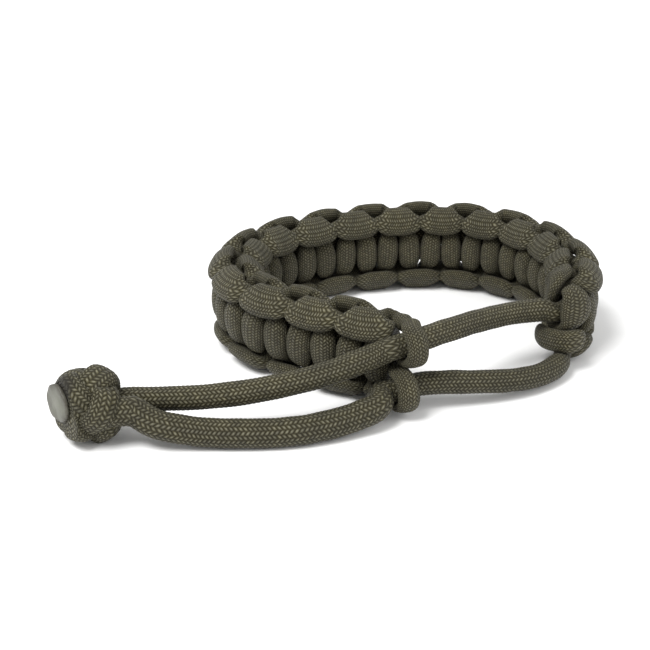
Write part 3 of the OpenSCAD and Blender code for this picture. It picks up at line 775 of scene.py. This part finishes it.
# The flame that melted the end has singed the lobe above it, round a point and out to a reach.
SINGED_AT = tuple(float(x) * MM for x in knot_point((KNOT_HALF + 0.4, 2.6, 4.2)))
SINGED_R = 0.0042
knot = finish_piece(
    sweep("knot", knot_rows, *KNOT_MESH, trimmed, relief=0.08, closed=True, seed=5, braid=KNOT_BRAID),
    "diamond_knot", cord_material("knot_cord", 5, KNOT_BRAID, scorch=(SINGED_AT, SINGED_R)))

CAP_RINGS, CAP_AROUND = 28, 72
# How flat its faces and how full its rim are, and its size as a share of its solid's
FACE_POWER, RIM_POWER, CAP_FIT = 0.55, 0.45, 0.99
# Waves round the edge and their depths, the thickness as a share of its solid's and how far that
# swings, and the dents in its face: their depth, and radians per mm across and up
EDGE_WAVES = [(2, 0.05), (3, 0.03), (7, 0.015)]
SWELL, SWELL_WAVE = 1.02, 0.06
DENT, DENT_Y, DENT_Z = 0.10, 1.3, 1.1
# Where the scorched rim starts, as a share of the radius, and how wide it is
RIM_FROM, RIM_WIDE = 0.66, 0.34
SAME_POINT = 1e-6


def melted_cap():
    """A flattened, uneven cap over the cut cords, with a scorched rim."""
    phase = np.random.default_rng(11).uniform(0, ANY_PHASE, 6)
    verts, burnt = [], []
    for i in range(CAP_RINGS + 1):
        a = math.pi * i / CAP_RINGS
        flat = abs(math.cos(a)) ** FACE_POWER * math.copysign(1, math.cos(a))
        r = math.sin(a) ** RIM_POWER * MELT_D / 2 * CAP_FIT
        for k in range(CAP_AROUND):
            b = 2 * math.pi * k / CAP_AROUND
            cb, sb = math.cos(b), math.sin(b)
            edge = 1
            for (waves, depth), shift in zip(EDGE_WAVES, phase):
                edge += depth * math.sin(waves * b + shift)
            swell = SWELL + SWELL_WAVE * math.sin(b + phase[3]) * math.sin(a)
            x = MELT_T / 2 - flat * MELT_T / 2 * swell
            if i > CAP_RINGS / 2:
                x += DENT * math.sin(DENT_Y * r * cb + phase[4]) * math.cos(DENT_Z * r * sb + phase[5])
            verts.append((x, r * edge * cb, r * edge * sb))
            burnt.append(max(0.0, min(1.0, (r * 2 / MELT_D - RIM_FROM) / RIM_WIDE)))
    p = np.array(verts)
    c, s = cosd(MELT_TURN), sind(MELT_TURN)
    q = np.stack([p[:, 0] * c - p[:, 1] * s, p[:, 0] * s + p[:, 1] * c, p[:, 2]], 1)
    faces = []
    for i in range(0, CAP_RINGS * CAP_AROUND, CAP_AROUND):
        for k in range(CAP_AROUND):
            k2 = (k + 1) % CAP_AROUND
            faces.append((i + k, i + CAP_AROUND + k, i + CAP_AROUND + k2, i + k2))
    ob = make_object("melted_cap", knot_points(np.array(MELT_AT) + q) * MM, faces)
    layer = ob.data.color_attributes.new("rim", "FLOAT_COLOR", "POINT")
    for d, b in zip(layer.data, burnt):
        d.color = (b, b, b, 1)
    # the points of each pole become one
    bm = bmesh.new()
    bm.from_mesh(ob.data)
    bmesh.ops.remove_doubles(bm, verts=bm.verts, dist=SAME_POINT)
    bmesh.ops.recalc_face_normals(bm, faces=bm.faces)
    bm.to_mesh(ob.data)
    bm.free()
    return ob


melted = finish_piece(melted_cap(), "melted_end", melted_material("melted_nylon"))

# Painted shade: the cords that lie lowest are darkened a little, for the shade that they lie in.
PAINTED_SHADE_SCALES = {"lower_core": 0.80, "lower_pull": 0.94}
# A slack cord's section is nearly round.
SLACK_SQUARE = 2.05
# Points of its route over which a pull cord comes to its own thickness
PULL_GROWTH = 1.5

# Pull cords
for name, side, d, hole, way, route, seed in (
        ("upper_pull", 1, UPPER_PULL_D, UPPER_HOLE, UPPER_WAY, UPPER_ROUTE, 6),
        ("lower_pull", -1, LOWER_PULL_D, LOWER_HOLE, LOWER_WAY, LOWER_ROUTE, 7)):
    path = pull_path(side, d, hole, way, route)
    thick = [min(d, BRIDGE_D + i / PULL_GROWTH * (d - BRIDGE_D) / CURVE_STEPS) / 2
             for i in range(len(path))]
    # the cord goes on into the knot, where the knot's own solid holds its end
    path.append(knot_point(stack_point(side, -STUB_HOLD * STUB_END)))
    rows = [row(p, (0, 0, 1), r, r) for p, r in zip(path, thick + thick[-1:])]
    piece = finish_piece(
        sweep(name, rows, *PULL_MESH, relief=0.10, square=SLACK_SQUARE, uneven=0.05, seed=seed),
        name + "_cord", cord_material(name + "_cord", seed, painted_shade_scale=PAINTED_SHADE_SCALES.get(name, 1.0)))

# The band, the bridges and the collars
for name, rows, seed in (("outer_weave", outer_rows, 1), ("inner_weave", inner_rows, 2)):
    finish_piece(sweep(name, rows, *WEAVE_MESH, band_points, seed=seed, braid=WEAVE_BRAID),
                 name + "_cord", cord_material(name + "_cord", seed, WEAVE_BRAID))

# Length along a core cord from which it shows, the distance between its rings before and after, the
# least distance to the last one, and the points round each
SHOWS_FROM, HIDDEN_GAP, SHOWN_GAP, LAST_GAP, CORE_AROUND = BAND_LEN - 8, 1.2, 0.15, 0.01, 80


def core_spacing(total):
    return np.concatenate([np.arange(0, SHOWS_FROM, HIDDEN_GAP),
                           np.arange(SHOWS_FROM, total - LAST_GAP, SHOWN_GAP), [total]])


for name, side, exits, aim, hole, way, seed in (
        ("upper_core", 1, UPPER_EXIT, UPPER_AIM, UPPER_HOLE, UPPER_WAY, 3),
        ("lower_core", -1, LOWER_EXIT, LOWER_AIM, LOWER_HOLE, LOWER_WAY, 4)):
    rows = core_rows(side, exits, aim, hole, way)
    finish_piece(
        sweep(name, rows, core_spacing, CORE_AROUND, relief=0.09, square=SLACK_SQUARE, uneven=0.04,
              seed=seed),
        name + "_cord", cord_material(name + "_cord", seed, painted_shade_scale=PAINTED_SHADE_SCALES.get(name, 1.0)))
for name, hole, way, side, face, lead, seed in (
        ("upper_collar", UPPER_HOLE, UPPER_WAY, 1, 1, UPPER_LEAD, 8),
        ("lower_collar", LOWER_HOLE, LOWER_WAY, -1, -1, LOWER_LEAD, 9)):
    rows = collar_rows(hole, way, side, face, lead)
    finish_piece(
        sweep(name + "_loop", rows, *COLLAR_MESH, band_points, relief=0.08, seed=seed,
              braid=WEAVE_BRAID),
        name, cord_material(name + "_cord", seed, WEAVE_BRAID))

# Floor and light
FLOOR_HALF = 3
FLOOR_STOPS = [(0.3, (0.90, 0.90, 0.895)), (0.7, (0.93, 0.93, 0.925))]
corners = np.array([(-1, -1, 0), (1, -1, 0), (1, 1, 0), (-1, 1, 0)], float)
floor = make_object("floor", FLOOR_HALF * corners, [(0, 1, 2, 3)])
g = Graph("pale_floor")
g.surface(Base_Color=g.ramp(g.noise(g.place(), scale=3.0, detail=2.0), FLOOR_STOPS), Roughness=0.9)
floor.data.materials.append(g.mat)

WORLD_COLOUR, WORLD_STRENGTH = (1.0, 1.0, 1.0, 1), 0.75
world = bpy.context.scene.world or bpy.data.worlds.new("world")
bpy.context.scene.world = world
world.use_nodes = True
world.node_tree.nodes["Background"].inputs[0].default_value = WORLD_COLOUR
world.node_tree.nodes["Background"].inputs[1].default_value = WORLD_STRENGTH


def area(name, at, size, power):
    """A round, soft light that looks at the middle of the floor."""
    light = bpy.data.lights.new(name, "AREA")
    light.shape = "DISK"
    light.size = size
    light.energy = power
    ob = bpy.data.objects.new(name, light)
    bpy.context.collection.objects.link(ob)
    ob.location = at
    d = -np.array(at, float)
    ob.rotation_euler = (math.acos(-d[2] / np.linalg.norm(d)), 0, math.atan2(d[0], -d[1]) + math.pi)


area("key", at=(-0.35, -0.35, 0.75), size=0.45, power=8.0)
area("fill", at=(0.6, -0.3, 0.5), size=0.6, power=2.0)

bpy.context.scene.view_settings.view_transform = "Standard"
